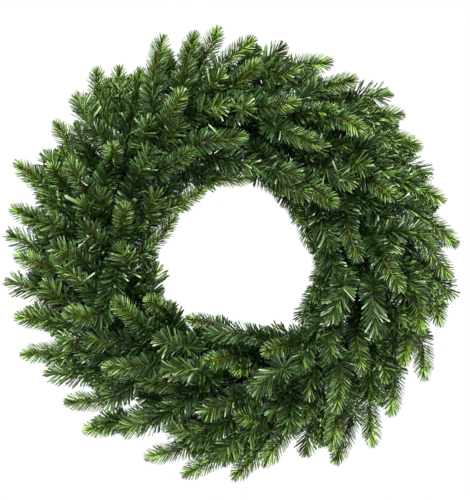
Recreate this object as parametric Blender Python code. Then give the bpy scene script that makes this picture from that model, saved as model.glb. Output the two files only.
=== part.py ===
"""An artificial Christmas wreath, 600 mm from tip to tip, hung by its wire frame.

The frame lies in the XZ plane at the back and the wreath faces -Y. The origin is
the point where a hook meets the underside of the outer ring at its top.
Fir-like and pine-like tips, two or three to a branch, are wrapped on the frame
and all sweep clockwise, as seen from the front. Lengths in metres, +Z up.
"""
import math
import random

import bmesh
import bpy
import numpy as np
from mathutils import Matrix, Vector, kdtree

MM = 0.001
SEED = 24

# Wire frame: two rings of steel wire joined by cross ties.
OUTER_RING = 172 * MM
INNER_RING = 140 * MM
RING_WIRE = 2.0 * MM
RING_STEPS = 60
RING_SIDES = 5
TIE_COUNT = 8
TIE_WIRE = 1.5 * MM
RING_CENTRE_Z = RING_WIRE - OUTER_RING
FRONT = Vector((0, -1, 0))

# The stretch of the outer ring that stays bare for the hook, and the space round it.
HOOK_SPACE_RADIUS = 11 * MM
HOOK_SPACE_FRONT = 8 * MM
HOOK_SPACE_BACK = 40 * MM
BARE_STRETCH = 16 * MM

# Branches: the end of each one is bent round a ring, and its stem goes on from there.
STEM_WIRE = 1.6 * MM
SIDE_STEM_WIRE = 1.55 * MM
WRAP_WIRE = 1.2 * MM
WRAP_GAP = 0.4 * MM
WRAP_TURN = math.radians(250)
WRAP_STEPS = 4
WRAP_PITCH = 2 * MM
WRAP_SPACING = 8 * MM
TIE_SPACING = 6 * MM
HIDDEN_STEM = 78 * MM
LEAST_RUN_BACK = 22 * MM
TIP_LENGTH = 58 * MM
LEAST_RISE = 4 * MM
LOWEST_FOOT = 0.45
BRANCH_SIZE = 2.33
GAP = 0.35 * MM

# A stem leaves its ring forward, outward and along it, in these shares, and bends
# towards its tip. The shares after them say how stiff that bend is, how far along
# the first stem the side stems fork off, and where a side stem has its own bend.
LEAVE_FORWARD = 0.75
LEAVE_OUTWARD = 0.35
LEAVE_ALONG = 0.45
BEND_PULL = 0.4
FORK_SHARE = 0.45
SIDE_SHARE = 0.5

# Needles: length, and lean from the stem in degrees, along it and at its very end.
# They stand in whorls, one on each flat side of the stem, and each whorl is turned.
NEEDLES = {
    "fir": {"length": 13 * MM, "lean": 58, "end_lean": 38},
    "pine": {"length": 22 * MM, "lean": 48, "end_lean": 28},
}
WHORL_LENGTH = 2.6 * MM
WHORL_REACH = 1.5 * STEM_WIRE
WHORL_TURN = math.radians(45)
NEEDLE_FOOT = 1.2 * MM
LENGTHS_TO_TRY = (1.0, 0.75, 0.5)

# How far each layer of tips stands in front of the frame.
LIFTS = {
    "low": 22 * MM,
    "inner": 38 * MM,
    "middle": 52 * MM,
    "high": 80 * MM,
    "top": 102 * MM,
}
LIFT_SPREAD = 5 * MM

# Relaxing the stems until no two branches touch.
BEAD_SPACING = 3 * MM
STEM_SPACING = 5.2 * MM
RELAX_ROUNDS = 160
RELAX_STEP = 0.55
RELAX_ENOUGH = 0.2 * MM
WELD = 0.01 * MM

MATERIALS = {
    "frame": ("green_painted_steel", (0.012, 0.035, 0.014), 0.45, 0.3),
    "fir": ("fir_needles", (0.045, 0.16, 0.035), 0.5, 0.0),
    "pine": ("pine_needles", (0.035, 0.13, 0.03), 0.42, 0.0),
}

# Each tip, clockwise from the top: its layer, the foot of the stretch that shows
# and its furthest point, as x and z in millimetres from the middle of the ring.
FIR_TIPS = [
    ("low", (-42, 240), (-16, 296)),
    ("low", (-16, 243), (31, 281)),
    ("middle", (2, 222), (38, 248)),
    ("high", (36, 187), (89, 194)),
    ("high", (-38, 142), (21, 150)),
    ("inner", (-30, 97), (30, 95)),
    ("low", (84, 243), (133, 250)),
    ("middle", (112, 211), (165, 226)),
    ("high", (88, 180), (139, 184)),
    ("high", (62, 158), (119, 137)),
    ("inner", (34, 100), (72, 73)),
    ("top", (130, 176), (173, 155)),
    ("low", (168, 179), (228, 180)),
    ("low", (196, 153), (251, 137)),
    ("high", (178, 96), (213, 69)),
    ("top", (100, 86), (137, 59)),
    ("inner", (74, 70), (99, 31)),
    ("low", (228, 92), (281, 65)),
    ("low", (248, 50), (298, 7)),
    ("inner", (96, 48), (109, 0)),
    ("high", (150, 38), (167, -14)),
    ("middle", (243, 22), (288, -36)),
    ("top", (196, -8), (222, -52)),
    ("inner", (115, 6), (121, -34)),
    ("low", (262, -50), (277, -98)),
    ("middle", (241, -52), (250, -108)),
    ("low", (249, -112), (256, -171)),
    ("middle", (232, -98), (226, -150)),
    ("high", (165, -108), (170, -159)),
    ("low", (214, -155), (211, -218)),
    ("high", (143, -152), (136, -211)),
    ("low", (182, -192), (186, -258)),
    ("low", (157, -218), (137, -282)),
    ("middle", (141, -205), (131, -262)),
    ("middle", (112, -180), (91, -227)),
    ("top", (84, -121), (41, -131)),
    ("middle", (72, -232), (42, -282)),
    ("low", (38, -262), (2, -301)),
    ("middle", (46, -222), (4, -215)),
    ("middle", (38, -147), (0, -157)),
    ("high", (8, -138), (-37, -145)),
    ("low", (-10, -268), (-65, -297)),
    ("middle", (-40, -200), (-76, -207)),
    ("inner", (-18, -99), (-62, -88)),
    ("low", (-58, -258), (-114, -274)),
    ("middle", (-66, -176), (-124, -170)),
    ("low", (-140, -227), (-196, -237)),
    ("high", (-108, -150), (-168, -153)),
    ("high", (-84, -84), (-110, -62)),
    ("low", (-160, -195), (-220, -200)),
    ("top", (-117, -98), (-152, -62)),
    ("low", (-222, -133), (-278, -137)),
    ("top", (-170, -82), (-217, -81)),
    ("low", (-226, -95), (-286, -86)),
    ("middle", (-180, -56), (-229, -14)),
    ("middle", (-232, -25), (-284, -5)),
    ("inner", (-111, 2), (-71, 48)),
    ("top", (-143, 22), (-139, 62)),
    ("low", (-242, 36), (-292, 57)),
    ("high", (-190, 76), (-213, 120)),
    ("low", (-243, 78), (-285, 118)),
    ("middle", (-222, 88), (-239, 116)),
    ("inner", (-66, 64), (-33, 84)),
    ("top", (-158, 110), (-153, 138)),
    ("low", (-206, 130), (-233, 172)),
    ("high", (-92, 106), (-49, 132)),
    ("low", (-172, 182), (-179, 243)),
    ("low", (-149, 182), (-149, 244)),
    ("high", (-88, 165), (-62, 211)),
    ("low", (-130, 185), (-119, 242)),
    ("middle", (-102, 222), (-90, 283)),
    ("middle", (-62, 226), (-48, 288)),
]
PINE_TIPS = [
    ("middle", (-26, 212), (-13, 238)),
    ("top", (2, 181), (27, 190)),
    ("inner", (-60, 93), (-8, 90)),
    ("low", (34, 243), (75, 275)),
    ("middle", (48, 225), (92, 238)),
    ("middle", (4, 118), (60, 107)),
    ("high", (96, 125), (123, 143)),
    ("high", (50, 110), (97, 96)),
    ("middle", (124, 143), (161, 137)),
    ("low", (160, 202), (216, 206)),
    ("high", (62, 98), (105, 67)),
    ("high", (150, 122), (184, 104)),
    ("middle", (180, 116), (213, 93)),
    ("high", (124, 108), (165, 84)),
    ("low", (216, 119), (269, 96)),
    ("middle", (185, 58), (231, 28)),
    ("high", (116, 43), (135, -2)),
    ("high", (205, 22), (210, -25)),
    ("low", (262, -32), (299, -64)),
    ("high", (132, -16), (162, -54)),
    ("inner", (119, -34), (104, -75)),
    ("middle", (203, -66), (232, -103)),
    ("top", (183, -56), (189, -118)),
    ("top", (146, -46), (126, -98)),
    ("inner", (109, -68), (88, -100)),
    ("middle", (195, -135), (206, -175)),
    ("top", (133, -99), (126, -147)),
    ("high", (102, -118), (87, -163)),
    ("middle", (110, -147), (96, -201)),
    ("low", (109, -214), (95, -276)),
    ("inner", (82, -112), (36, -106)),
    ("middle", (75, -180), (47, -226)),
    ("top", (66, -152), (20, -187)),
    ("high", (24, -108), (-42, -107)),
    ("middle", (8, -238), (-22, -282)),
    ("high", (0, -196), (-45, -214)),
    ("middle", (-12, -226), (-59, -239)),
    ("top", (-42, -156), (-95, -152)),
    ("middle", (-40, -238), (-92, -232)),
    ("top", (-58, -126), (-103, -111)),
    ("middle", (-98, -221), (-152, -236)),
    ("inner", (-70, -97), (-91, -61)),
    ("low", (-190, -161), (-251, -163)),
    ("high", (-146, -118), (-198, -115)),
    ("middle", (-190, -115), (-233, -118)),
    ("inner", (-106, -54), (-98, -11)),
    ("middle", (-127, -52), (-150, -18)),
    ("middle", (-214, -72), (-249, -38)),
    ("low", (-246, -53), (-303, -37)),
    ("high", (-134, -27), (-150, 12)),
    ("middle", (-182, -24), (-205, 6)),
    ("high", (-200, -12), (-237, 10)),
    ("low", (-250, 2), (-302, 25)),
    ("top", (-172, 10), (-196, 40)),
    ("high", (-224, 28), (-243, 45)),
    ("high", (-178, 38), (-199, 70)),
    ("high", (-167, 44), (-177, 85)),
    ("high", (-113, 47), (-96, 81)),
    ("low", (-222, 92), (-251, 136)),
    ("top", (-120, 100), (-101, 137)),
    ("middle", (-180, 158), (-207, 211)),
    ("high", (-116, 138), (-108, 178)),
    ("high", (-88, 140), (-61, 174)),
    ("high", (-42, 183), (0, 194)),
]


def clear_scene():
    for ob in list(bpy.data.objects):
        bpy.data.objects.remove(ob, do_unlink=True)


def make_collection(name):
    found = bpy.data.collections.new(name)
    bpy.context.scene.collection.children.link(found)
    return found


def make_material(kind):
    name, colour, roughness, metallic = MATERIALS[kind]
    mat = bpy.data.materials.new(name)
    mat.use_nodes = True
    shader = mat.node_tree.nodes["Principled BSDF"]
    shader.inputs["Base Color"].default_value = (*colour, 1)
    shader.inputs["Roughness"].default_value = roughness
    shader.inputs["Metallic"].default_value = metallic
    mat.diffuse_color = (*colour, 1)
    return mat


def at(x, depth, z):
    """A point from its place on the wreath's face and how far it stands in front."""
    return Vector((x, -depth, z + RING_CENTRE_Z))


def on_ring(angle, radius):
    """A point of a ring, with the angle measured clockwise from the top."""
    return at(radius * math.sin(angle), 0, radius * math.cos(angle))


def wrapped(angle):
    return (angle + math.pi) % (2 * math.pi) - math.pi


# Where the branches are and how their stems run


def read_tip(kind, row, draw):
    """One tip's foot, end and the spot on a ring that its stem comes from."""
    layer, foot, end = row
    foot, end = Vector(foot) * MM, Vector(end) * MM
    lift = LIFTS[layer] + draw.uniform(-LIFT_SPREAD, LIFT_SPREAD)
    run = end - foot
    rise = math.sqrt(max(TIP_LENGTH**2 - run.length_squared, LEAST_RISE**2))
    foot_lift = max(lift - rise, LOWEST_FOOT * lift)
    back = math.sqrt(max(HIDDEN_STEM**2 - foot_lift**2, LEAST_RUN_BACK**2))
    start = foot - run.normalized() * back
    ring = OUTER_RING if start.length > (OUTER_RING + INNER_RING) / 2 else INNER_RING
    foot_at, end_at = at(foot.x, foot_lift, foot.y), at(end.x, lift, end.y)
    way = (end_at - foot_at).normalized()
    reach = NEEDLES[kind]["length"] * math.cos(math.radians(NEEDLES[kind]["end_lean"]))
    return {
        "kind": kind,
        "ring": ring,
        "angle": math.atan2(start.x, start.y),
        "foot": foot_at,
        "way": way,
        "end": end_at - way * reach,
        "reach": reach,
    }


def group_tips(tips):
    """Branches of two or three tips of one kind whose stems start side by side."""
    branches = []
    for kind in NEEDLES:
        for ring in (OUTER_RING, INNER_RING):
            near = [t for t in tips if t["kind"] == kind and t["ring"] == ring]
            near.sort(key=lambda t: t["angle"])
            parts = round(len(near) / BRANCH_SIZE)
            edges = [round(i * len(near) / parts) for i in range(parts + 1)]
            for low, high in zip(edges, edges[1:]):
                mine = near[low:high]
                angle = sum(t["angle"] for t in mine) / len(mine)
                branches.append({"kind": kind, "ring": ring, "angle": angle, "tips": mine})
    return branches


def spread_wraps(branches):
    """Moves the wraps along their rings, off each other, the ties and the bare stretch."""
    ties = [(i + 0.5) * 2 * math.pi / TIE_COUNT for i in range(TIE_COUNT)]
    for ring in (OUTER_RING, INNER_RING):
        mine = sorted((b for b in branches if b["ring"] == ring), key=lambda b: b["angle"])
        barred = [(tie, TIE_SPACING / ring) for tie in ties] + [(0, BARE_STRETCH / ring)]
        least = WRAP_SPACING / ring
        for _ in range(RELAX_ROUNDS):
            for one, other in zip(mine, mine[1:] + mine[:1]):
                short = least - (other["angle"] - one["angle"]) % (2 * math.pi)
                if short > 0:
                    one["angle"] -= short / 2
                    other["angle"] += short / 2
            for branch in mine:
                for middle, half in barred:
                    off = wrapped(branch["angle"] - middle)
                    if abs(off) < half:
                        branch["angle"] = middle + math.copysign(half, off)


def wrap_points(angle, ring):
    """The end of a branch, bent round its ring, from its cut end to the front."""
    middle = on_ring(angle, ring)
    outward = Vector((math.sin(angle), 0, math.cos(angle)))
    along = Vector((math.cos(angle), 0, -math.sin(angle)))
    step = WRAP_TURN / WRAP_STEPS
    radius = (RING_WIRE + WRAP_GAP + WRAP_WIRE) / math.cos(step / 2)
    points = []
    for i in range(WRAP_STEPS + 1):
        left = WRAP_TURN - i * step
        turn = math.pi / 2 + left
        side = outward * math.cos(turn) + FRONT * math.sin(turn)
        points.append(middle + side * radius + along * WRAP_PITCH * (0.5 - left / WRAP_TURN))
    return points


def bezier(a, b, c, d, t):
    s = 1 - t
    return a * s**3 + b * 3 * s * s * t + c * 3 * s * t * t + d * t**3


def plan_stems(branches):
    """Control points for every stem, as one list of points and one row of places a stem."""
    points, fixed, stems = [], [], []

    def add(point, held=False):
        points.append(point)
        fixed.append(held)
        return len(points) - 1

    for number, branch in enumerate(branches):
        outward = Vector((math.sin(branch["angle"]), 0, math.cos(branch["angle"])))
        along = Vector((math.cos(branch["angle"]), 0, -math.sin(branch["angle"])))
        branch["wrap"] = wrap_points(branch["angle"], branch["ring"])
        leave = FRONT * LEAVE_FORWARD + outward * LEAVE_OUTWARD + along * LEAVE_ALONG
        leave.normalize()
        tips = sorted(branch["tips"], key=lambda t: (t["foot"] - branch["wrap"][-1]).length)
        start, fork = add(branch["wrap"][-1], True), None
        for tip in tips:
            is_first = fork is None
            a = points[start if is_first else fork]
            d, pull = tip["foot"], BEND_PULL * (tip["foot"] - a).length
            b, c = a + leave * pull, d - tip["way"] * pull
            if is_first:
                fork = add(bezier(a, b, c, d, FORK_SHARE))
                row = [start, fork]
            else:
                row = [fork, add(bezier(a, b, c, d, SIDE_SHARE))]
            row += [add(d), add(tip["end"])]
            stems.append({"branch": number, "first": is_first, "row": row, **tip})
    return points, fixed, stems


def ring_obstacles():
    """The frame's wires as straight pieces: start, end and radius."""
    rows = []
    for ring in (OUTER_RING, INNER_RING):
        spots = [on_ring(i * 2 * math.pi / RING_STEPS, ring) for i in range(RING_STEPS)]
        rows += [(p, q, RING_WIRE) for p, q in zip(spots, spots[1:] + spots[:1])]
    for i in range(TIE_COUNT):
        angle = (i + 0.5) * 2 * math.pi / TIE_COUNT
        rows.append((on_ring(angle, INNER_RING), on_ring(angle, OUTER_RING), TIE_WIRE))
    middle = (OUTER_RING + INNER_RING) / 2
    space = (at(0, HOOK_SPACE_FRONT, middle), at(0, -HOOK_SPACE_BACK, middle))
    return rows + [(*space, HOOK_SPACE_RADIUS)]


def beads_of(stems, points):
    """Beads along the stems: which stem, which two points they lie between and where."""
    rows = []
    for number, stem in enumerate(stems):
        for p, q in zip(stem["row"], stem["row"][1:]):
            count = max(2, round((points[q] - points[p]).length / BEAD_SPACING))
            rows += [(number, p, q, (i + 0.5) / count) for i in range(count)]
    return rows


def relax(points, fixed, stems, branches):
    """Bends the stems clear of each other and of the frame, a little at a time."""
    beads = beads_of(stems, points)
    owner = [stems[b[0]]["branch"] for b in beads]
    still = []
    for p, q, radius in ring_obstacles():
        count = max(2, round((q - p).length / BEAD_SPACING))
        still += [(p.lerp(q, (i + 0.5) / count), radius, -1) for i in range(count)]
    for number, branch in enumerate(branches):
        wrap = branch["wrap"]
        still += [(p.lerp(q, 0.5), WRAP_WIRE, number) for p, q in zip(wrap, wrap[1:])]
    widest = HOOK_SPACE_RADIUS + STEM_SPACING / 2
    for _ in range(RELAX_ROUNDS):
        spots = [points[p].lerp(points[q], t) for _, p, q, t in beads]
        tree = kdtree.KDTree(len(spots) + len(still))
        for i, spot in enumerate(spots):
            tree.insert(spot, i)
        for i, (spot, _, _) in enumerate(still):
            tree.insert(spot, len(spots) + i)
        tree.balance()
        moves = [Vector() for _ in points]
        worst = 0
        for i, spot in enumerate(spots):
            push = Vector()
            for near, j, distance in tree.find_range(spot, widest):
                if j < len(spots):
                    wanted, other = STEM_SPACING, owner[j]
                else:
                    _, radius, other = still[j - len(spots)]
                    wanted = radius + STEM_SPACING / 2
                if other == owner[i] or distance >= wanted:
                    continue
                away = spot - near if distance > 1e-6 else FRONT * 1e-3
                push += away.normalized() * (wanted - distance) * RELAX_STEP
                worst = max(worst, wanted - distance)
            if push.length_squared:
                _, p, q, t = beads[i]
                moves[p] += push * (1 - t)
                moves[q] += push * t
        for i, move in enumerate(moves):
            if not fixed[i] and move.length_squared:
                points[i] = points[i] + move * min(1, STEM_SPACING / move.length)
        if worst < RELAX_ENOUGH:
            break


def route_stems(branches):
    """Every stem with the path that it takes once all are clear of each other."""
    points, fixed, stems = plan_stems(branches)
    relax(points, fixed, stems, branches)
    for stem in stems:
        stem["path"] = [points[i] for i in stem["row"]]
    return stems


# Needles


def distances(p, q, starts, ends):
    """How far the piece from p to q is from each of many straight pieces."""
    p, q = np.array(p), np.array(q)
    d1, d2, r = q - p, ends - starts, p - starts
    a, e = d1 @ d1, np.maximum((d2 * d2).sum(1), 1e-12)
    b, c, f = d2 @ d1, r @ d1, (d2 * r).sum(1)
    bottom = a * e - b * b
    s = np.clip(np.where(bottom > 1e-18, (b * f - c * e) / np.maximum(bottom, 1e-18), 0), 0, 1)
    t = np.clip((b * s + f) / e, 0, 1)
    s = np.clip((b * t - c) / a, 0, 1)
    return np.linalg.norm(p + s[:, None] * d1 - starts - t[:, None] * d2, axis=1)


class Crowd:
    """Everything that a needle has to stay clear of, as straight pieces."""

    def __init__(self, rows):
        self.starts = np.array([r[0] for r in rows])
        self.ends = np.array([r[1] for r in rows])
        self.radii = np.array([r[2] for r in rows])
        self.owners = np.array([r[3] for r in rows])

    def is_clear(self, p, q, owner):
        others = self.owners != owner
        gaps = distances(p, q, self.starts[others], self.ends[others])
        return bool((gaps > self.radii[others] + NEEDLE_FOOT + GAP).all())

    def add(self, p, q, owner):
        self.starts = np.vstack([self.starts, np.array(p)])
        self.ends = np.vstack([self.ends, np.array(q)])
        self.radii = np.append(self.radii, NEEDLE_FOOT)
        self.owners = np.append(self.owners, owner)


def make_crowd(stems, branches):
    """The frame, every wrap and every stem. A wrap belongs to its branch's first stem."""
    rows = [(*r, -1) for r in ring_obstacles()]
    for number, stem in enumerate(stems):
        path = stem["path"]
        if stem["first"]:
            wrap = branches[stem["branch"]]["wrap"]
            rows += [(p, q, WRAP_WIRE, number) for p, q in zip(wrap, wrap[1:])]
        rows += [(p, q, STEM_WIRE, number) for p, q in zip(path, path[1:])]
    return Crowd(rows)


def raise_needles(number, stem, crowd):
    """Draws each flat side of the whorls, and the stem's cut end, out to a needle."""
    sizes, mesh = NEEDLES[stem["kind"]], stem["solid"].data
    bm = bmesh.new()
    bm.from_mesh(mesh)
    bm.normal_update()
    spots = []
    for place, (p, q) in enumerate(stem["whorls"]):
        way, middle = (q - p).normalized(), (p + q) / 2
        at_end = place == len(stem["whorls"]) - 1
        lean = math.radians(sizes["end_lean"] if at_end else sizes["lean"])
        for face in bm.faces:
            if (face.calc_center_median() - middle).length > WHORL_REACH:
                continue
            along = face.normal.dot(way)
            if abs(along) < 0.5:
                side = (face.normal - way * along).normalized()
                aim = way * math.cos(lean) + side * math.sin(lean)
                spots.append((face, aim, sizes["length"]))
            elif at_end and along > 0:
                spots.append((face, way, stem["reach"]))
    for face, aim, length in spots:
        foot = face.calc_center_median()
        for share in LENGTHS_TO_TRY:
            end = foot + aim * length * share
            if crowd.is_clear(foot, end, number):
                crowd.add(foot, end, number)
                apex = bmesh.ops.poke(bm, faces=[face])["verts"][0]
                apex.co = end
                break
    bm.to_mesh(mesh)
    bm.free()


# Solids


def tube(name, path, radii, turns, collection):
    """A four-sided wire along straight pieces, as a closed mesh."""
    curve = bpy.data.curves.new(name, "CURVE")
    curve.dimensions = "3D"
    curve.bevel_depth = 1
    curve.bevel_resolution = 0
    curve.use_fill_caps = True
    spline = curve.splines.new("POLY")
    spline.points.add(len(path) - 1)
    for point, place, radius, turn in zip(spline.points, path, radii, turns):
        point.co = (*place, 1)
        point.radius = radius
        point.tilt = turn
    guide = bpy.data.objects.new(name + "_curve", curve)
    collection.objects.link(guide)
    bpy.context.view_layer.update()
    evaluated = guide.evaluated_get(bpy.context.evaluated_depsgraph_get())
    mesh = bpy.data.meshes.new_from_object(evaluated)
    bm = bmesh.new()
    bm.from_mesh(mesh)
    bmesh.ops.remove_doubles(bm, verts=bm.verts, dist=WELD)
    bm.to_mesh(mesh)
    bm.free()
    ob = bpy.data.objects.new(name, mesh)
    ob.matrix_world = guide.matrix_world
    collection.objects.link(ob)
    bpy.data.objects.remove(guide, do_unlink=True)
    return ob


def keep_largest_body(mesh):
    """Drops loose scraps and fills sealed hollows, which are bodies of their own."""
    bm = bmesh.new()
    bm.from_mesh(mesh)
    left, bodies = set(bm.faces), []
    while left:
        body, edge = set(), [left.pop()]
        while edge:
            face = edge.pop()
            body.add(face)
            for side in face.edges:
                for other in side.link_faces:
                    if other in left:
                        left.discard(other)
                        edge.append(other)
        bodies.append(body)
    bodies.sort(key=len)
    loose = [face for body in bodies[:-1] for face in body]
    bmesh.ops.delete(bm, geom=loose, context="FACES")
    bmesh.ops.triangulate(bm, faces=bm.faces)
    bm.to_mesh(mesh)
    bm.free()


def is_closed(mesh):
    bm = bmesh.new()
    bm.from_mesh(mesh)
    closed = all(len(edge.link_faces) == 2 for edge in bm.edges)
    bm.free()
    return closed


def evaluated_meshes(jobs):
    bpy.context.view_layer.update()
    graph = bpy.context.evaluated_depsgraph_get()
    return [bpy.data.meshes.new_from_object(ob.evaluated_get(graph)) for ob, _ in jobs]


def join_all(jobs):
    """Unions each object with all that its collection holds, then drops the collection.

    A union that comes out open by EXACT is made by MANIFOLD instead.
    """
    for ob, repeats in jobs:
        union = ob.modifiers.new("union", "BOOLEAN")
        union.operation = "UNION"
        union.solver = "EXACT"
        union.operand_type = "COLLECTION"
        union.collection = repeats
    for (ob, _), mesh in zip(jobs, evaluated_meshes(jobs)):
        if not is_closed(mesh):
            ob.modifiers["union"].solver = "MANIFOLD"
    for (ob, repeats), mesh in zip(jobs, evaluated_meshes(jobs)):
        mesh.name = ob.name
        ob.modifiers.clear()
        ob.data = mesh
        keep_largest_body(mesh)
        for piece in list(repeats.objects):
            bpy.data.objects.remove(piece, do_unlink=True)
        bpy.data.collections.remove(repeats)


def make_wire_frame(wreath):
    """The two rings and the ties between them, welded into one piece."""
    repeats = make_collection("wire_frame_repeats")
    rings = []
    for ring in (OUTER_RING, INNER_RING):
        bpy.ops.mesh.primitive_torus_add(
            major_radius=ring,
            minor_radius=RING_WIRE,
            major_segments=RING_STEPS,
            minor_segments=RING_SIDES,
            location=(0, 0, RING_CENTRE_Z),
            rotation=(math.pi / 2, 0, 0),
        )
        rings.append(bpy.context.object)
    frame, inner = rings
    frame.name = "wire_frame"
    for ob, home in ((frame, wreath), (inner, repeats)):
        for old in list(ob.users_collection):
            old.objects.unlink(ob)
        home.objects.link(ob)
    for i in range(TIE_COUNT):
        angle = (i + 0.5) * 2 * math.pi / TIE_COUNT
        mesh = bpy.data.meshes.new("tie")
        bm = bmesh.new()
        bmesh.ops.create_cone(
            bm,
            cap_ends=True,
            segments=RING_SIDES,
            radius1=TIE_WIRE,
            radius2=TIE_WIRE,
            depth=OUTER_RING - INNER_RING,
        )
        bm.to_mesh(mesh)
        bm.free()
        tie = bpy.data.objects.new("tie", mesh)
        tie.location = on_ring(angle, (OUTER_RING + INNER_RING) / 2)
        tie.rotation_euler = (0, angle, 0)
        repeats.objects.link(tie)
    frame.data.materials.append(make_material("frame"))
    return frame, repeats


def with_whorls(path):
    """A stem's path with a short straight stretch at its foot, its middle and its end."""
    foot, end = path[-2:]
    inward, way = (foot - path[-3]).normalized(), (end - foot).normalized()
    half, middle = WHORL_LENGTH / 2, (foot + end) / 2
    whorls = [
        (foot - inward * half, foot + way * half),
        (middle - way * half, middle + way * half),
        (end - way * WHORL_LENGTH, end),
    ]
    turns = [i * WHORL_TURN for i in range(len(whorls)) for _ in range(2)]
    turns = [0] * (len(path) - 2) + turns
    return path[:-2] + [p for pair in whorls for p in pair], turns, whorls


def make_stems(branch, stems, name, wreath, material):
    """A branch's wrap and first stem as one wire, and its side stems to join to it."""
    repeats = make_collection(name + "_repeats")
    for stem in stems:
        path, turns, stem["whorls"] = with_whorls(stem["path"])
        if stem["first"]:
            path, turns = branch["wrap"][:-1] + path, [0] * (len(branch["wrap"]) - 1) + turns
            radii = [WRAP_WIRE] * len(branch["wrap"])
            radii += [STEM_WIRE] * (len(path) - len(radii))
            ob = stem["solid"] = tube(name, path, radii, turns, wreath)
        else:
            radii = [SIDE_STEM_WIRE] * len(path)
            stem["solid"] = tube(name + "_side", path, radii, turns, repeats)
    ob.data.materials.clear()
    ob.data.materials.append(material)
    return ob, repeats


def main():
    clear_scene()
    draw = random.Random(SEED)
    tips = [read_tip("fir", row, draw) for row in FIR_TIPS]
    tips += [read_tip("pine", row, draw) for row in PINE_TIPS]
    branches = group_tips(tips)
    spread_wraps(branches)
    branches.sort(key=lambda b: b["angle"] % (2 * math.pi))
    stems = route_stems(branches)

    wreath = make_collection("christmas_wreath")
    materials = {kind: make_material(kind) for kind in NEEDLES}
    jobs = [make_wire_frame(wreath)]
    made = dict.fromkeys(NEEDLES, 0)
    for number, branch in enumerate(branches):
        kind = branch["kind"]
        made[kind] += 1
        mine = [stem for stem in stems if stem["branch"] == number]
        name = f"{kind}_branch_{made[kind]:02d}"
        jobs.append(make_stems(branch, mine, name, wreath, materials[kind]))
    crowd = make_crowd(stems, branches)
    for number, stem in enumerate(stems):
        raise_needles(number, stem, crowd)
    join_all(jobs)


main()
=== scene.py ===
"""The looks of the artificial Christmas wreath: its wire frame, stems and needles.

Each branch has the same stems as its solid, found by the same rule, all their needles,
and the short shoots and stray blades that the solids leave out. Lengths in metres, +Z
up. The wreath hangs with its face to -Y.
"""
import math
import random

import bpy
import numpy as np
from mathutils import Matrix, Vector, kdtree


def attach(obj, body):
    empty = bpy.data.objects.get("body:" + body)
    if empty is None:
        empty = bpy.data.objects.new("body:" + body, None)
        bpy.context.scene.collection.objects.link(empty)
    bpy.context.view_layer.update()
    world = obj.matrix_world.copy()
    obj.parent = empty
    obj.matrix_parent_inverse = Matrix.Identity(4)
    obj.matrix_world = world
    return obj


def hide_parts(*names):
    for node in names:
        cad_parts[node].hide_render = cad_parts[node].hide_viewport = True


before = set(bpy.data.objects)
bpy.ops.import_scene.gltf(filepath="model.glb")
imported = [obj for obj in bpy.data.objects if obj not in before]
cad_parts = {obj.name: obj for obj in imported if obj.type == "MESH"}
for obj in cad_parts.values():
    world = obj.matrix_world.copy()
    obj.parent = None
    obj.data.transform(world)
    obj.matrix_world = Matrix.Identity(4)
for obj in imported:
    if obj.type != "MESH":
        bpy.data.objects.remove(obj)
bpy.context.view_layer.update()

MM = 0.001
SEED = 24

# Wire frame. The bands are places across the map.
OUTER_RING = 172 * MM
INNER_RING = 140 * MM
RINGS = (OUTER_RING, INNER_RING)
RING_WIRE = 2.0 * MM
RING_STEPS = 60
TIE_COUNT = 8
TIE_WIRE = 1.5 * MM
TIE_ANGLES = [(i + 0.5) * math.tau / TIE_COUNT for i in range(TIE_COUNT)]
RING_JOINTS = (math.radians(200), math.radians(150))
RING_SEGMENTS = 180
RING_SIDES = 12
RING_BAND = (0.05, 0.4)
TIE_SEGMENTS = 16
TIE_SIDES = 10
TIE_BAND = (0.6, 0.9)
JOINT_BULGE = 0.45 * MM
JOINT_SPREAD = 1.6 * MM
WELD_BULGE = 0.8 * MM
WELD_SPREAD = 2.6 * MM
RING_CENTRE_Z = RING_WIRE - OUTER_RING
FRONT = Vector((0, -1, 0))

# The stretch of the outer ring that stays bare for the hook, the space round it, and
# where along a needle that space is tested.
HOOK_RADIUS = 11 * MM
HOOK_FRONT = 8 * MM
HOOK_BACK = 40 * MM
BARE_STRETCH = 16 * MM
TESTED_SHARES = (0.25, 0.5, 0.75, 1)

# Branches, as in the solids
WRAP_WIRE = 1.2 * MM
WRAP_GAP = 0.4 * MM
WRAP_TURN = math.radians(250)
WRAP_STEPS = 4
WRAP_PITCH = 2 * MM
WRAP_SPACING = 8 * MM
TIE_SPACING = 6 * MM
HIDDEN_STEM = 78 * MM
LEAST_RUN_BACK = 22 * MM
TIP_LENGTH = 58 * MM
LEAST_RISE = 4 * MM
LOWEST_FOOT = 0.45
BRANCH_SIZE = 2.33
LEAVE_FORWARD = 0.75
LEAVE_OUTWARD = 0.35
LEAVE_ALONG = 0.45
BEND_PULL = 0.4
FORK_SHARE = 0.45
SIDE_SHARE = 0.5

# How far the end needle of each kind's solid reaches past its stem.
END_NEEDLE = {
    "fir": 13 * MM * math.cos(math.radians(38)),
    "pine": 22 * MM * math.cos(math.radians(28)),
}

# How far each layer's tips stand in front of the rings, give or take the spread.
LIFTS = {"low": 22 * MM, "inner": 38 * MM, "middle": 52 * MM, "high": 80 * MM, "top": 102 * MM}
LIFT_SPREAD = 5 * MM

# Stems move off each other and off the frame, which a row of beads on each one tests.
BEAD_SPACING = 3 * MM
STEM_SPACING = 5.2 * MM
RELAX_ROUNDS = 160
RELAX_STEP = 0.55
RELAX_ENOUGH = 0.2 * MM
TOUCHING = 1e-6

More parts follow.
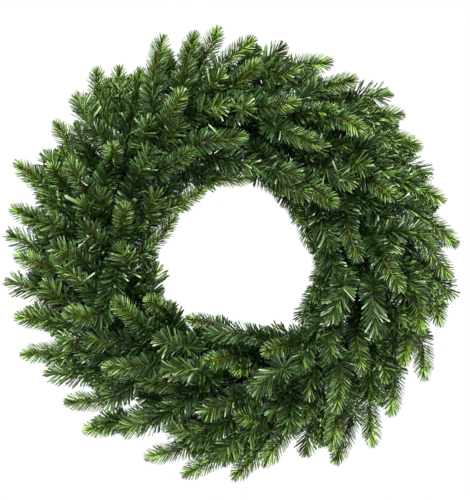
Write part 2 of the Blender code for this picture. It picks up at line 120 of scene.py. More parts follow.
# Each tip, clockwise from the top: its layer, then x and z of where it starts to show
# and of its furthest point, in millimetres from the middle of the ring.
FIR_TIPS = [
    ("low", -42, 240, -16, 296), ("low", -16, 243, 31, 281), ("middle", 2, 222, 38, 248),
    ("high", 36, 187, 89, 194), ("high", -38, 142, 21, 150), ("inner", -30, 97, 30, 95),
    ("low", 84, 243, 133, 250), ("middle", 112, 211, 165, 226), ("high", 88, 180, 139, 184),
    ("high", 62, 158, 119, 137), ("inner", 34, 100, 72, 73), ("top", 130, 176, 173, 155),
    ("low", 168, 179, 228, 180), ("low", 196, 153, 251, 137), ("high", 178, 96, 213, 69),
    ("top", 100, 86, 137, 59), ("inner", 74, 70, 99, 31), ("low", 228, 92, 281, 65),
    ("low", 248, 50, 298, 7), ("inner", 96, 48, 109, 0), ("high", 150, 38, 167, -14),
    ("middle", 243, 22, 288, -36), ("top", 196, -8, 222, -52), ("inner", 115, 6, 121, -34),
    ("low", 262, -50, 277, -98), ("middle", 241, -52, 250, -108), ("low", 249, -112, 256, -171),
    ("middle", 232, -98, 226, -150), ("high", 165, -108, 170, -159), ("low", 214, -155, 211, -218),
    ("high", 143, -152, 136, -211), ("low", 182, -192, 186, -258), ("low", 157, -218, 137, -282),
    ("middle", 141, -205, 131, -262), ("middle", 112, -180, 91, -227), ("top", 84, -121, 41, -131),
    ("middle", 72, -232, 42, -282), ("low", 38, -262, 2, -301), ("middle", 46, -222, 4, -215),
    ("middle", 38, -147, 0, -157), ("high", 8, -138, -37, -145), ("low", -10, -268, -65, -297),
    ("middle", -40, -200, -76, -207), ("inner", -18, -99, -62, -88), ("low", -58, -258, -114, -274),
    ("middle", -66, -176, -124, -170), ("low", -140, -227, -196, -237), ("high", -108, -150, -168, -153),
    ("high", -84, -84, -110, -62), ("low", -160, -195, -220, -200), ("top", -117, -98, -152, -62),
    ("low", -222, -133, -278, -137), ("top", -170, -82, -217, -81), ("low", -226, -95, -286, -86),
    ("middle", -180, -56, -229, -14), ("middle", -232, -25, -284, -5), ("inner", -111, 2, -71, 48),
    ("top", -143, 22, -139, 62), ("low", -242, 36, -292, 57), ("high", -190, 76, -213, 120),
    ("low", -243, 78, -285, 118), ("middle", -222, 88, -239, 116), ("inner", -66, 64, -33, 84),
    ("top", -158, 110, -153, 138), ("low", -206, 130, -233, 172), ("high", -92, 106, -49, 132),
    ("low", -172, 182, -179, 243), ("low", -149, 182, -149, 244), ("high", -88, 165, -62, 211),
    ("low", -130, 185, -119, 242), ("middle", -102, 222, -90, 283), ("middle", -62, 226, -48, 288),
]
PINE_TIPS = [
    ("middle", -26, 212, -13, 238), ("top", 2, 181, 27, 190), ("inner", -60, 93, -8, 90),
    ("low", 34, 243, 75, 275), ("middle", 48, 225, 92, 238), ("middle", 4, 118, 60, 107),
    ("high", 96, 125, 123, 143), ("high", 50, 110, 97, 96), ("middle", 124, 143, 161, 137),
    ("low", 160, 202, 216, 206), ("high", 62, 98, 105, 67), ("high", 150, 122, 184, 104),
    ("middle", 180, 116, 213, 93), ("high", 124, 108, 165, 84), ("low", 216, 119, 269, 96),
    ("middle", 185, 58, 231, 28), ("high", 116, 43, 135, -2), ("high", 205, 22, 210, -25),
    ("low", 262, -32, 299, -64), ("high", 132, -16, 162, -54), ("inner", 119, -34, 104, -75),
    ("middle", 203, -66, 232, -103), ("top", 183, -56, 189, -118), ("top", 146, -46, 126, -98),
    ("inner", 109, -68, 88, -100), ("middle", 195, -135, 206, -175), ("top", 133, -99, 126, -147),
    ("high", 102, -118, 87, -163), ("middle", 110, -147, 96, -201), ("low", 109, -214, 95, -276),
    ("inner", 82, -112, 36, -106), ("middle", 75, -180, 47, -226), ("top", 66, -152, 20, -187),
    ("high", 24, -108, -42, -107), ("middle", 8, -238, -22, -282), ("high", 0, -196, -45, -214),
    ("middle", -12, -226, -59, -239), ("top", -42, -156, -95, -152), ("middle", -40, -238, -92, -232),
    ("top", -58, -126, -103, -111), ("middle", -98, -221, -152, -236), ("inner", -70, -97, -91, -61),
    ("low", -190, -161, -251, -163), ("high", -146, -118, -198, -115), ("middle", -190, -115, -233, -118),
    ("inner", -106, -54, -98, -11), ("middle", -127, -52, -150, -18), ("middle", -214, -72, -249, -38),
    ("low", -246, -53, -303, -37), ("high", -134, -27, -150, 12), ("middle", -182, -24, -205, 6),
    ("high", -200, -12, -237, 10), ("low", -250, 2, -302, 25), ("top", -172, 10, -196, 40),
    ("high", -224, 28, -243, 45), ("high", -178, 38, -199, 70), ("high", -167, 44, -177, 85),
    ("high", -113, 47, -96, 81), ("low", -222, 92, -251, 136), ("top", -120, 100, -101, 137),
    ("middle", -180, 158, -207, 211), ("high", -116, 138, -108, 178), ("high", -88, 140, -61, 174),
    ("high", -42, 183, 0, 194),
]

# Short leafy shoots that fork off the stems behind the tips, in millimetres: x and z of
# their foot and end, and how far they stand in front of the ring.
SHOOTS = [
    (-50, 168, 0, 163, 14), (0, 162, 44, 152, 14), (46, 150, 84, 128, 18), (-92, 200, -80, 240, 16),
    (-8, -126, -54, -114, 20), (220, 22, 248, -16, 13), (-178, 116, -201, 158, 18),
    (-84, -188, -114, -192, 16), (76, 213, 106, 226, 20), (-112, 68, -76, 90, 18), (146, 10, 164, -34, 26),
    (127, -212, 119, -246, 20), (-12, -255, -42, -264, 14), (-230, 14, -250, 22, 14),
    (-150, -222, -172, -229, 14), (210, -92, 216, -130, 24), (32, -162, -20, -160, 13),
    (-142, -170, -178, -172, 16), (-226, -40, -256, -32, 14), (208, 140, 228, 128, 16),
    (4, 248, 28, 262, 14), (-206, 108, -223, 127, 14), (180, 174, 208, 168, 14),
    (-180, 180, -188, 196, 14), (-228, 46, -246, 68, 14), (262, -42, 274, -66, 14),
    (-148, 194, -140, 218, 14), (-160, 190, -164, 216, 14), (-214, -102, -236, -98, 14),
    (-220, -62, -236, -61, 14), (196, -164, 197, -192, 16), (252, 30, 268, 13, 14),
    (160, -142, 165, -180, 14), (134, 162, 168, 148, 15), (85, -206, 83, -230, 16), (224, 82, 254, 62, 16),
    (-150, 52, -144, 88, 16), (-34, -218, -72, -222, 18), (124, 104, 142, 72, 16),
    (-8, -134, -44, -128, 24), (-232, 84, -258, 100, 14), (230, 100, 246, 95, 14), (-24, 142, 22, 136, 15),
    (-72, 152, -28, 152, 13), (28, 236, 68, 246, 16), (100, 206, 146, 204, 12), (156, 192, 180, 188, 18),
    (-62, 228, -52, 268, 14), (-128, 180, -124, 226, 18), (-116, 62, -98, 98, 24),
    (-117, -52, -113, -6, 26), (-116, 2, -110, 24, 20), (-64, -134, -104, -142, 14),
    (-70, -160, -108, -164, 12), (-14, -122, -50, -119, 28), (164, 66, 174, 28, 24), (138, 46, 146, 4, 28),
    (174, 18, 172, -24, 24), (70, 112, 98, 92, 16), (130, -52, 134, -92, 28), (130, -186, 126, -246, 20),
    (-176, -146, -216, -152, 16), (-196, -80, -226, -81, 16), (-140, -82, -166, -54, 22),
    (250, 6, 268, -28, 14), (250, -50, 258, -74, 14), (196, 148, 232, 134, 16), (244, 86, 261, 62, 14),
    (-222, -24, -258, -6, 14), (34, -250, 8, -270, 12), (140, 104, 164, 74, 26),
    (-168, 104, -162, 130, 14), (-196, -4, -206, 40, 18), (-104, -98, -142, -92, 22),
    (230, -100, 231, -124, 14), (208, -134, 208, -170, 16), (118, -52, 110, -86, 28),
    (-40, 116, 2, 110, 24), (6, 206, 44, 200, 24), (186, 20, 216, -6, 12), (-136, -142, -178, -150, 18),
    (122, -110, 138, -146, 12), (136, -70, 124, -104, 16), (184, -80, 194, -112, 24),
    (-222, 94, -233, 112, 18), (-95, 212, -88, 256, 14), (-236, -84, -262, -84, 12),
    (-232, -50, -256, -47, 12), (-206, -138, -236, -142, 12), (-240, 33, -266, 45, 12),
]

# Rings of shoots at the back: radius, how many, how far in front and the turn that
# each makes from its foot to its end.
BACK_SHOOTS = [
    (148 * MM, 20, 12 * MM, math.radians(17)),
    (192 * MM, 28, 10 * MM, math.radians(14)),
]
BACK_SHOOT_OUTWARD = 14 * MM
SHOOT_START = 3 * MM
SHOOT_BEND = 0.1
PLAIN_SHOOT = {"layer": "shoot", "first": False, "is_light": False, "tone": 1, "reach": 1}

# Stray pale blades of film, in millimetres: x and z of both ends, and the width.
BLADES = [
    (-217, 72, -203, 52, 5), (-147, 18, -133, -3, 2), (-180, 178, -170, 190, 2.2),
    (-180, 170, -175, 152, 2.2), (-70, 238, -60, 225, 2.2), (-18, 222, -8, 242, 2),
    (-18, 222, -28, 216, 2), (0, 200, 8, 188, 2), (8, 192, 12, 200, 2), (-30, 165, -20, 160, 2),
    (62, 143, 65, 157, 2), (55, 168, 60, 158, 2), (-195, 90, -188, 85, 2), (-192, -38, -178, -28, 2),
    (-175, 12, -185, 3, 2), (-128, -30, -118, -35, 2), (-240, 0, -228, 6, 2), (-235, 15, -224, 20, 2),
    (-200, 4, -192, 12, 2), (-90, -140, -83, -125, 2), (-53, -157, -43, -152, 2.2),
    (-48, -210, -35, -210, 3), (-38, -200, -28, -200, 2.4), (132, 118, 137, 105, 2.2),
    (140, 92, 150, 88, 2), (152, 95, 162, 90, 2), (198, 105, 207, 95, 2.2), (135, -105, 139, -120, 2.2),
    (80, 226, 92, 238, 1.8), (-118, 160, -100, 176, 1.8),
]
USUAL_BLADE = 2
BLADE_RISE = 15 * MM
BLADE_REACH = 18 * MM
BLADE_BACK = 2 * MM
BLADE_AGE = 2
BLADE_RIDGE = 0.35
BLADE_FACING = (0.2, -1, 0.1)
BLADE_TILT = 0.25

# What a stem's spot costs as a blade's root, a metre beside the blade's line and a
# metre further back.
COST_BESIDE = 3
COST_BEHIND = 0.25
COST_BARRED = 1

# Some tips differ, and are named here by their furthest point. Two at the hole's upper
# left are of a lighter green.
LIGHT_TIPS = {(-33, 84), (-71, 48)}

# These are brighter or duller than the others of their layer.
BRIGHT_TIPS = {
    (27, 190), (-8, 90), (0, -157), (139, 184), (-91, -61), (-37, -145), (0, 194), (-13, 238),
    (-239, 116), (72, 73), (-76, -207), (250, -108), (-62, -88), (-196, -237), (288, -36),
    (226, -150),
}
DULL_TIPS = {
    (21, 150), (126, -147), (135, -2), (-101, 137), (109, 0), (189, -118), (20, -187), (-42, -107),
    (-49, 132), (-198, -115), (167, -14), (-196, 40), (-71, 48),
}
BRIGHTER = 1.6
DULLER = 0.5

# These, at the hole, have shorter needles.
SHORT_TIPS = {
    (-8, 90), (30, 95), (72, 73), (99, 31), (121, -34), (104, -75), (36, -106), (-42, -107),
    (-62, -88), (-91, -61), (-71, 48), (-33, 84),
}
SHORT_REACH = 0.8

# Needles: moulded fir ones, and flat ones of cut film on the pine tips and on every
# stem's hidden stretch. Densities count along the stem. Each needle stands a share of
# a turn on from the one before, so a share of 3/10 makes ten rows. At the front they
# part by some degrees, so that the stem shows, and a crown of them ends the stem.
GOLDEN_TURN = (3 - math.sqrt(5)) / 2
ROW_DRIFT = 0.0006
NEEDLES = {
    "fir": {
        "length": 17.5 * MM, "half_width": 0.8 * MM, "ridge": 0.58 * MM,
        "lean": 56, "end_lean": 28, "curl": 0.12,
        "density": 2.8 / MM, "turn": 0.3, "unruly": 0.4, "parting": 13, "crown": 8,
        "profile": ((0, 0.75), (0.5, 1), (0.88, 0.8)),
    },
    "pine": {
        "length": 25 * MM, "half_width": 1 * MM, "ridge": 0.45 * MM,
        "lean": 46, "end_lean": 26, "curl": 0,
        "density": 1.8 / MM, "turn": GOLDEN_TURN, "unruly": 1, "parting": 9, "crown": 10,
        "profile": ((0, 0.85), (0.9, 1)),
    },
    "hidden": {
        "length": 22 * MM, "half_width": 1.1 * MM, "ridge": 0.6 * MM,
        "lean": 56, "end_lean": 56, "curl": 0,
        "density": 3.7 / MM, "turn": 0.3, "unruly": 0.6, "parting": 0, "crown": 0,
        "profile": ((0, 0.85), (0.9, 1)),
    },
}
NEEDLES["shoot"] = {**NEEDLES["hidden"], "end_lean": 30, "crown": 10}
BARE_FOOT = 8 * MM
FORK_FOOT = 2 * MM
YOUNG_STRETCH = 50 * MM
TAPER_STRETCH = 14 * MM
TAPER = 0.3
LEAN_POWER = 1.5
CROWN_BACK = 0.5 * MM
CROWN_LEAN = 4
ROOT_DEPTH = 0.4
KEEL = 0.3
FIRST_TURNS = 6.3

# How far needles stray from these rules, times how unruly they are.
SPACING_SPREAD = 0.5 * MM
TURN_SPREAD = 0.25
LEAN_SPREAD = 6
SIZE_SPREAD = 0.07
SIZE_LIMITS = (0.8, 1.2)
RIDGE_SPREAD = 0.4

# How long the young colours last, as a share of the usual stretch, where it isn't 1. The
# low layer's longer stretch is partly painted light at the rim, and the shoots' short one
# is painted shade behind the tips.
YOUTH = {"low": 1.25, "shoot": 0.35}
LIGHT_YOUTH = 2.4

# The share of the young colours that a tip's last needles show, by kind and layer. The
# low layer's larger share is partly painted light at the rim, and the shoots' small one is
# painted shade in the gaps behind the tips. The crown of needles at a stem's end shows
# less.
BLOOM = {
    "fir": {"low": 0.92, "inner": 0.62, "middle": 0.8, "high": 0.74, "top": 0.74, "shoot": 0.14},
    "pine": {"low": 0.76, "inner": 0.6, "middle": 0.66, "high": 0.56, "top": 0.56, "shoot": 0.14},
}
# Shares of needles that take the last look, a painted highlight, by kind and for light tips
PAINTED_HIGHLIGHT_SHARE = {"fir": 0.03, "pine": 0.06}
LIGHT_BLOOM = 0.85
LIGHT_TIP_PAINTED_HIGHLIGHT_SHARE = 0.08

# From this far out every needle shows some of the young colours, most at the rim:
# painted light that brightens the rim.
RIM_START = 215 * MM
RIM_STRETCH = 45 * MM
RIM_PAINTED_LIGHT = 0.38

# Needles lie down against the wall, and keep clear of the hook.
WALL = 6 * MM
WALL_PRESS = 0.3

# The map that the colours are read from: along a needle, and a row for each look.
MAP_NAME = "OFBake"
MAP_ROWS = 64
LOOK_COUNT = 8
AGE_GROUPS = 7
STEM_ROWS = 8
STEM_BAND_SHARE = 0.8
ROW_MARGIN = 0.15
END_PLACE = 0.03
CAP_PLACE = 0.01
NEEDLE_SLOT = 0
STEM_SLOT = 1

# Stems
STEM_RADIUS = {"fir": 0.75 * MM, "pine": 0.8 * MM}
STEM_SIDES = 6
STEM_END = (0.9, 0.75, 0.5)
STEM_LOBES = {"fir": 0.06, "pine": 0.22}
STEM_TWIST = {"fir": 0, "pine": math.radians(150) / (10 * MM)}
CURVE_STEP = 4 * MM
FIRST_SIDE = (0.3, 0.9, 0.2)
WIND_RADIUS = 0.85 * MM
WIND_TURNS = 2.5
WIND_PITCH = 1.9 * MM
WIND_SHIFT = 0.6
WIND_STEPS = 16

# Colours along a needle from root to end, for the oldest and the youngest ones, and the
# colour of the painted highlights. The youngest ends are paler and bluer, partly as a
# painted highlight.
NEEDLE_COLOURS = {
    "fir": {
        "old": ((0, (0.044, 0.076, 0.014)), (0.5, (0.028, 0.074, 0.015)), (1, (0.032, 0.084, 0.018))),
        "young": ((0, (0.27, 0.4, 0.033)), (0.4, (0.218, 0.42, 0.048)), (1, (0.285, 0.39, 0.14))),
        "pale": (0.44, 0.57, 0.28), "roughness": 0.33,
    },
    "pine": {
        "old": ((0, (0.04, 0.066, 0.0125)), (0.5, (0.025, 0.065, 0.013)), (1, (0.028, 0.072, 0.0155))),
        "young": ((0, (0.166, 0.255, 0.023)), (0.4, (0.134, 0.268, 0.034)), (1, (0.178, 0.253, 0.085))),
        "pale": (0.48, 0.6, 0.33), "roughness": 0.3,
    },
}

# What a needle's look makes of its colours. The looks, drawn at random, are darker and
# brighter partly as painted shade and painted highlight between the needles. The
# brightest looks are paler, a painted highlight, and the last one is that of the needles
# with the pale painted highlight.
SHADES = (
    (0, (0.17, 0.15, 0.2)), (0.4, (0.38, 0.43, 0.27)), (0.65, (1.38, 1.56, 0.92)),
    (0.75, (1.82, 1.72, 2.4)), (0.86, (2.02, 1.92, 2.7)),
)
NEEDLE_GLOSS = 0.42

# Needles of the last look pale towards their ends, and every needle pales at its edges:
# both are painted highlights.
PAINTED_HIGHLIGHT_LOOK = 0.85
PAINTED_HIGHLIGHT_RANGE = {"From Min": 0.3, "From Max": 0.8, "To Max": 0.6}
EDGE_FROM = 0.27
EDGE_PAINTED_HIGHLIGHT = 0.08

# Stems: their mottles, dark and light, their roughness, and the painted shade that
# darkens them towards the foot, deep in the wreath
STEM_COLOURS = {
    "fir": (((0.35, (0.1, 0.065, 0.01)), (0.65, (0.22, 0.14, 0.023))), 0.5),
    "pine": (((0.35, (0.075, 0.043, 0.012)), (0.65, (0.16, 0.095, 0.03))), 0.55),
}
STEM_PAINTED_SHADE = ((0.6, (0.5, 0.55, 0.6)), (0.92, (1, 1, 1)))
MOTTLES = (60, 40, 1)
MOTTLE_GRAIN = {"Scale": 1, "Detail": 3}

# The frame's coating, from sound to worn
COATING = ((0.3, (0.008, 0.028, 0.012)), (0.62, (0.02, 0.06, 0.025)), (0.78, (0.05, 0.09, 0.05)))
COATING_GRAIN = {"Scale": 260, "Detail": 4}
COATING_ROUGHNESS = {"To Min": 0.3, "To Max": 0.55}
COATING_BUMP = {"Strength": 0.25, "Distance": 0.2 * MM}

# Camera: the photograph's frame, and where the wreath's middle is in it.
PIXEL = 1.316 * MM
PHOTO_WIDTH = 470
PHOTO_HEIGHT = 500
MIDDLE_X = 231.5
MIDDLE_Y = 251
CAMERA_DISTANCE = 4.0
MATCH_DEPTH = 40 * MM
SENSOR = 36
CLIP_END = 50

# Studio: each light's place, size and power, the world's light and the floor
LIGHTS = {
    "key": ((-0.8, -2.4, 1.6), 0.7, 180),
    "fill": ((1, -2.6, -0.2), 0.8, 24),
    "back": ((0.9, 2.3, 0.8), 1.2, 45),
}
AMBIENT = 0.42
FLOOR_Z = -0.64
FLOOR_RADIUS = 1.3
FLOOR_SIDES = 96
FLOOR_COLOUR = (0.9, 0.9, 0.9)
FLOOR_ROUGHNESS = 0.8


def at(x, depth, z):
    """A point from its place on the wreath's face and how far it stands in front."""
    return Vector((x, -depth, z + RING_CENTRE_Z))


def on_ring(angle, radius):
    """A point of a ring, with the angle measured clockwise from the top."""
    return at(radius * math.sin(angle), 0, radius * math.cos(angle))


def ring_ways(angle):
    """At this angle, the way outward from the middle and the way on along a ring."""
    x, z = math.sin(angle), math.cos(angle)
    return Vector((x, 0, z)), Vector((z, 0, -x))


def wrapped(angle):
    """The same angle between minus half a turn and half a turn."""
    return (angle + math.pi) % math.tau - math.pi


# Where the branches are and how their stems run


def read_tip(kind, row, draw):
    """One tip's foot, end and the spot on a ring that its stem comes from."""
    layer, x0, z0, x1, z1 = row
    foot, end = Vector((x0, z0)) * MM, Vector((x1, z1)) * MM
    lift = LIFTS[layer] + draw.uniform(-LIFT_SPREAD, LIFT_SPREAD)
    run = end - foot
    rise = math.sqrt(max(TIP_LENGTH**2 - run.length_squared, LEAST_RISE**2))
    foot_lift = max(lift - rise, LOWEST_FOOT * lift)
    back = math.sqrt(max(HIDDEN_STEM**2 - foot_lift**2, LEAST_RUN_BACK**2))
    start = foot - run.normalized() * back
    ring = OUTER_RING if start.length > sum(RINGS) / 2 else INNER_RING
    foot_at, end_at = at(foot.x, foot_lift, foot.y), at(end.x, lift, end.y)
    way = (end_at - foot_at).normalized()
    return {
        "kind": kind,
        "layer": layer,
        "ring": ring,
        "angle": math.atan2(start.x, start.y),
        "foot": foot_at,
        "way": way,
        "end": end_at - way * END_NEEDLE[kind],
        "is_light": (x1, z1) in LIGHT_TIPS,
        "reach": SHORT_REACH if (x1, z1) in SHORT_TIPS else 1,
        "tone": BRIGHTER if (x1, z1) in BRIGHT_TIPS else DULLER if (x1, z1) in DULL_TIPS else 1,
    }


def group_tips(tips):
    """Branches of two or three tips of one kind whose stems start side by side."""
    branches = []
    for kind in END_NEEDLE:
        for ring in RINGS:
            near = [t for t in tips if t["kind"] == kind and t["ring"] == ring]
            near.sort(key=lambda t: t["angle"])
            parts = round(len(near) / BRANCH_SIZE)
            edges = [round(i * len(near) / parts) for i in range(parts + 1)]
            for low, high in zip(edges, edges[1:]):
                mine = near[low:high]
                angle = sum(t["angle"] for t in mine) / len(mine)
                branches.append({"kind": kind, "ring": ring, "angle": angle, "tips": mine})
    return branches


def spread_wraps(branches):
    """Moves the wraps along their rings, off each other, the ties and the bare stretch."""
    for ring in RINGS:
        mine = sorted((b for b in branches if b["ring"] == ring), key=lambda b: b["angle"])
        barred = [(tie, TIE_SPACING / ring) for tie in TIE_ANGLES] + [(0, BARE_STRETCH / ring)]
        least = WRAP_SPACING / ring
        for _ in range(RELAX_ROUNDS):
            for one, other in zip(mine, mine[1:] + mine[:1]):
                short = least - (other["angle"] - one["angle"]) % math.tau
                if short > 0:
                    one["angle"] -= short / 2
                    other["angle"] += short / 2
            for branch in mine:
                for middle, half in barred:
                    off = wrapped(branch["angle"] - middle)
                    if abs(off) < half:
                        branch["angle"] = middle + math.copysign(half, off)


def wrap_points(angle, ring):
    """The end of a branch, bent round its ring, from its cut end to the front."""
    middle = on_ring(angle, ring)
    outward, along = ring_ways(angle)
    step = WRAP_TURN / WRAP_STEPS
    radius = (RING_WIRE + WRAP_GAP + WRAP_WIRE) / math.cos(step / 2)
    points = []
    for i in range(WRAP_STEPS + 1):
        left = WRAP_TURN - i * step
        turn = math.pi / 2 + left
        side = outward * math.cos(turn) + FRONT * math.sin(turn)
        points.append(middle + side * radius + along * WRAP_PITCH * (0.5 - left / WRAP_TURN))
    return points


def bezier(a, b, c, d, t):
    s = 1 - t
    return a * s**3 + b * 3 * s * s * t + c * 3 * s * t * t + d * t**3


def plan_stems(branches):
    """Control points for every stem, as one list of points and one row of places a stem."""
    points, fixed, stems = [], [], []

    def add(point, held=False):
        points.append(point)
        fixed.append(held)
        return len(points) - 1

    for number, branch in enumerate(branches):
        outward, along = ring_ways(branch["angle"])
        branch["wrap"] = wrap_points(branch["angle"], branch["ring"])
        leave = FRONT * LEAVE_FORWARD + outward * LEAVE_OUTWARD + along * LEAVE_ALONG
        leave.normalize()
        tips = sorted(branch["tips"], key=lambda t: (t["foot"] - branch["wrap"][-1]).length)
        root = add(branch["wrap"][-1], True)
        for tip in tips:
            is_first = tip is tips[0]
            a, d = points[root], tip["foot"]
            pull = BEND_PULL * (d - a).length
            share = FORK_SHARE if is_first else SIDE_SHARE
            bend = add(bezier(a, a + leave * pull, d - tip["way"] * pull, d, share))
            row = [root, bend, add(d), add(tip["end"])]
            stems.append({"branch": number, "first": is_first, "row": row, **tip})
            # The other tips fork off the first one's bend.
            root = bend if is_first else root
    return points, fixed, stems


def ring_obstacles():
    """The frame's wires as straight pieces: start, end and radius."""
    rows = []
    for ring in RINGS:
        spots = [on_ring(i * math.tau / RING_STEPS, ring) for i in range(RING_STEPS)]
        rows += [(p, q, RING_WIRE) for p, q in zip(spots, spots[1:] + spots[:1])]
    for angle in TIE_ANGLES:
        rows.append((on_ring(angle, INNER_RING), on_ring(angle, OUTER_RING), TIE_WIRE))
    middle = sum(RINGS) / 2
    space = (at(0, HOOK_FRONT, middle), at(0, -HOOK_BACK, middle))
    return rows + [(*space, HOOK_RADIUS)]


def bead_shares(length):
    """Where the beads of a straight piece are, as shares of its length."""
    count = max(2, round(length / BEAD_SPACING))
    return [(i + 0.5) / count for i in range(count)]


def beads_of(stems, points):
    """Beads along the stems: which stem, which two points they lie between and where."""
    rows = []
    for number, stem in enumerate(stems):
        for p, q in zip(stem["row"], stem["row"][1:]):
            rows += [(number, p, q, t) for t in bead_shares((points[q] - points[p]).length)]
    return rows


def relax(points, fixed, stems, branches):
    """Bends the stems clear of each other and of the frame, a little at a time."""
    beads = beads_of(stems, points)
    owner = [stems[b[0]]["branch"] for b in beads]
    still = []
    for p, q, radius in ring_obstacles():
        still += [(p.lerp(q, t), radius, -1) for t in bead_shares((q - p).length)]
    for number, branch in enumerate(branches):
        wrap = branch["wrap"]
        still += [(p.lerp(q, 0.5), WRAP_WIRE, number) for p, q in zip(wrap, wrap[1:])]
    widest = HOOK_RADIUS + STEM_SPACING / 2
    for _ in range(RELAX_ROUNDS):
        spots = [points[p].lerp(points[q], t) for _, p, q, t in beads]
        tree = kdtree.KDTree(len(spots) + len(still))
        for i, spot in enumerate(spots):
            tree.insert(spot, i)
        for i, (spot, _, _) in enumerate(still):
            tree.insert(spot, len(spots) + i)
        tree.balance()
        moves = [Vector() for _ in points]
        worst = 0
        for i, spot in enumerate(spots):
            push = Vector()
            for near, j, distance in tree.find_range(spot, widest):
                if j < len(spots):
                    wanted, other = STEM_SPACING, owner[j]
                else:
                    _, radius, other = still[j - len(spots)]
                    wanted = radius + STEM_SPACING / 2
                if other == owner[i] or distance >= wanted:
                    continue
                away = spot - near if distance > TOUCHING else FRONT * MM
                push += away.normalized() * (wanted - distance) * RELAX_STEP
                worst = max(worst, wanted - distance)
            if push.length_squared:
                _, p, q, t = beads[i]
                moves[p] += push * (1 - t)
                moves[q] += push * t
        for i, move in enumerate(moves):
            if not fixed[i] and move.length_squared:
                points[i] = points[i] + move * min(1, STEM_SPACING / move.length)
        if worst < RELAX_ENOUGH:
            break


def route_stems(branches):
    """Every stem with the path that it takes once all are clear of each other."""
    points, fixed, stems = plan_stems(branches)
    relax(points, fixed, stems, branches)
    for stem in stems:
        stem["path"] = [points[i] for i in stem["row"]]
    return stems


# Smooth stems


def smooth_line(points):
    """A smooth line through the points, sampled at even steps, as an array."""
    knots = np.array(points)
    knots = np.vstack([2 * knots[0] - knots[1], knots, 2 * knots[-1] - knots[-2]])
    rows = []
    for a, b, c, d in zip(knots, knots[1:], knots[2:], knots[3:]):
        count = max(2, round(np.linalg.norm(c - b) / CURVE_STEP))
        t = (np.arange(count) / count)[:, None]
        rows.append(
            0.5 * (2 * b + (c - a) * t + (2 * a - 5 * b + 4 * c - d) * t**2
                   + (3 * b - a - 3 * c + d) * t**3)
        )
    return np.vstack([*rows, knots[-2]])


def winding(angle, ring):
    """The wire's end, wound round its ring, up to where it leaves towards the front."""
    middle = np.array(on_ring(angle, ring))
    outward, along = (np.array(way) for way in ring_ways(angle))
    left = np.linspace(WIND_TURNS, 0, round(WIND_TURNS * WIND_STEPS) + 1)[:, None]
    turn = math.pi / 2 + left * math.tau
    side = outward * np.cos(turn) + np.array(FRONT) * np.sin(turn)
    shift = along * WIND_PITCH * (WIND_SHIFT - left)
    return middle + side * (RING_WIRE + WIND_RADIUS) + shift


def unit(rows):
    return rows / np.linalg.norm(rows, axis=1)[:, None]


def frames_along(line):
    """Unit vectors along a line and two across it that turn as little as they can."""
    ways = unit(np.gradient(line, axis=0))
    side = np.cross(ways[0], FIRST_SIDE)
    sides = np.empty_like(line)
    for i, way in enumerate(ways):
        side = side - way * (side @ way)
        side /= np.linalg.norm(side)
        sides[i] = side
    return ways, sides, np.cross(ways, sides)


def lengths_along(line):
    steps = np.linalg.norm(np.diff(line, axis=0), axis=1)
    return np.concatenate([[0], np.cumsum(steps)])


# Meshes as arrays


def place_object(name, data):
    ob = bpy.data.objects.new(name, data)
    bpy.context.scene.collection.objects.link(ob)
    return ob


class Parts:
    """The vertices and faces of one mesh, gathered as arrays."""

    def __init__(self):
        self.points, self.faces, self.count = [], [], 0

    def add(self, points, faces, slot):
        """Each row of faces holds corners, their u and v, and whether they are smooth."""
        self.points.append(points.reshape(-1, 3))
        for corners, places, smooth in faces:
            self.faces.append((corners + self.count, places.reshape(-1, 2), slot, smooth))
        self.count += len(self.points[-1])

    def build(self, name, materials):
        mesh = bpy.data.meshes.new(name)
        corners, places, slots, smooth = zip(*self.faces)
        counts = [len(rows) for rows in corners]
        sizes = np.repeat([rows.shape[1] for rows in corners], counts)
        corners = np.concatenate([rows.ravel() for rows in corners]).astype(np.int32)
        mesh.vertices.add(self.count)
        mesh.vertices.foreach_set("co", np.vstack(self.points).astype(np.float32).ravel())
        mesh.loops.add(len(corners))
        mesh.loops.foreach_set("vertex_index", corners)
        mesh.polygons.add(len(sizes))
        mesh.polygons.foreach_set("loop_start", (np.cumsum(sizes) - sizes).astype(np.int32))
        mesh.polygons.foreach_set("material_index", np.repeat(slots, counts).astype(np.int32))
        mesh.polygons.foreach_set("use_smooth", np.repeat(smooth, counts))
        layer = mesh.uv_layers.new(name=MAP_NAME)
        layer.uv.foreach_set("vector", np.vstack(places).astype(np.float32).ravel())
        mesh.update(calc_edges=True)
        for material in materials:
            mesh.materials.append(material)
        return place_object(name, mesh)


def row_place(row, across):
    """The v of a place across a map row, inside the row's margins."""
    return (row + ROW_MARGIN + (1 - 2 * ROW_MARGIN) * across) / MAP_ROWS


def in_hook_space(roots, ways, lengths):
    """Which needles come into the space that the hook needs round the bare stretch."""
    inside = np.zeros(len(roots), bool)
    for share in TESTED_SHARES:
        spot = roots + ways * (lengths * share)[:, None]
        beside = np.hypot(spot[:, 0], spot[:, 2]) < HOOK_RADIUS
        inside |= beside & (spot[:, 1] > -HOOK_FRONT)
    return inside


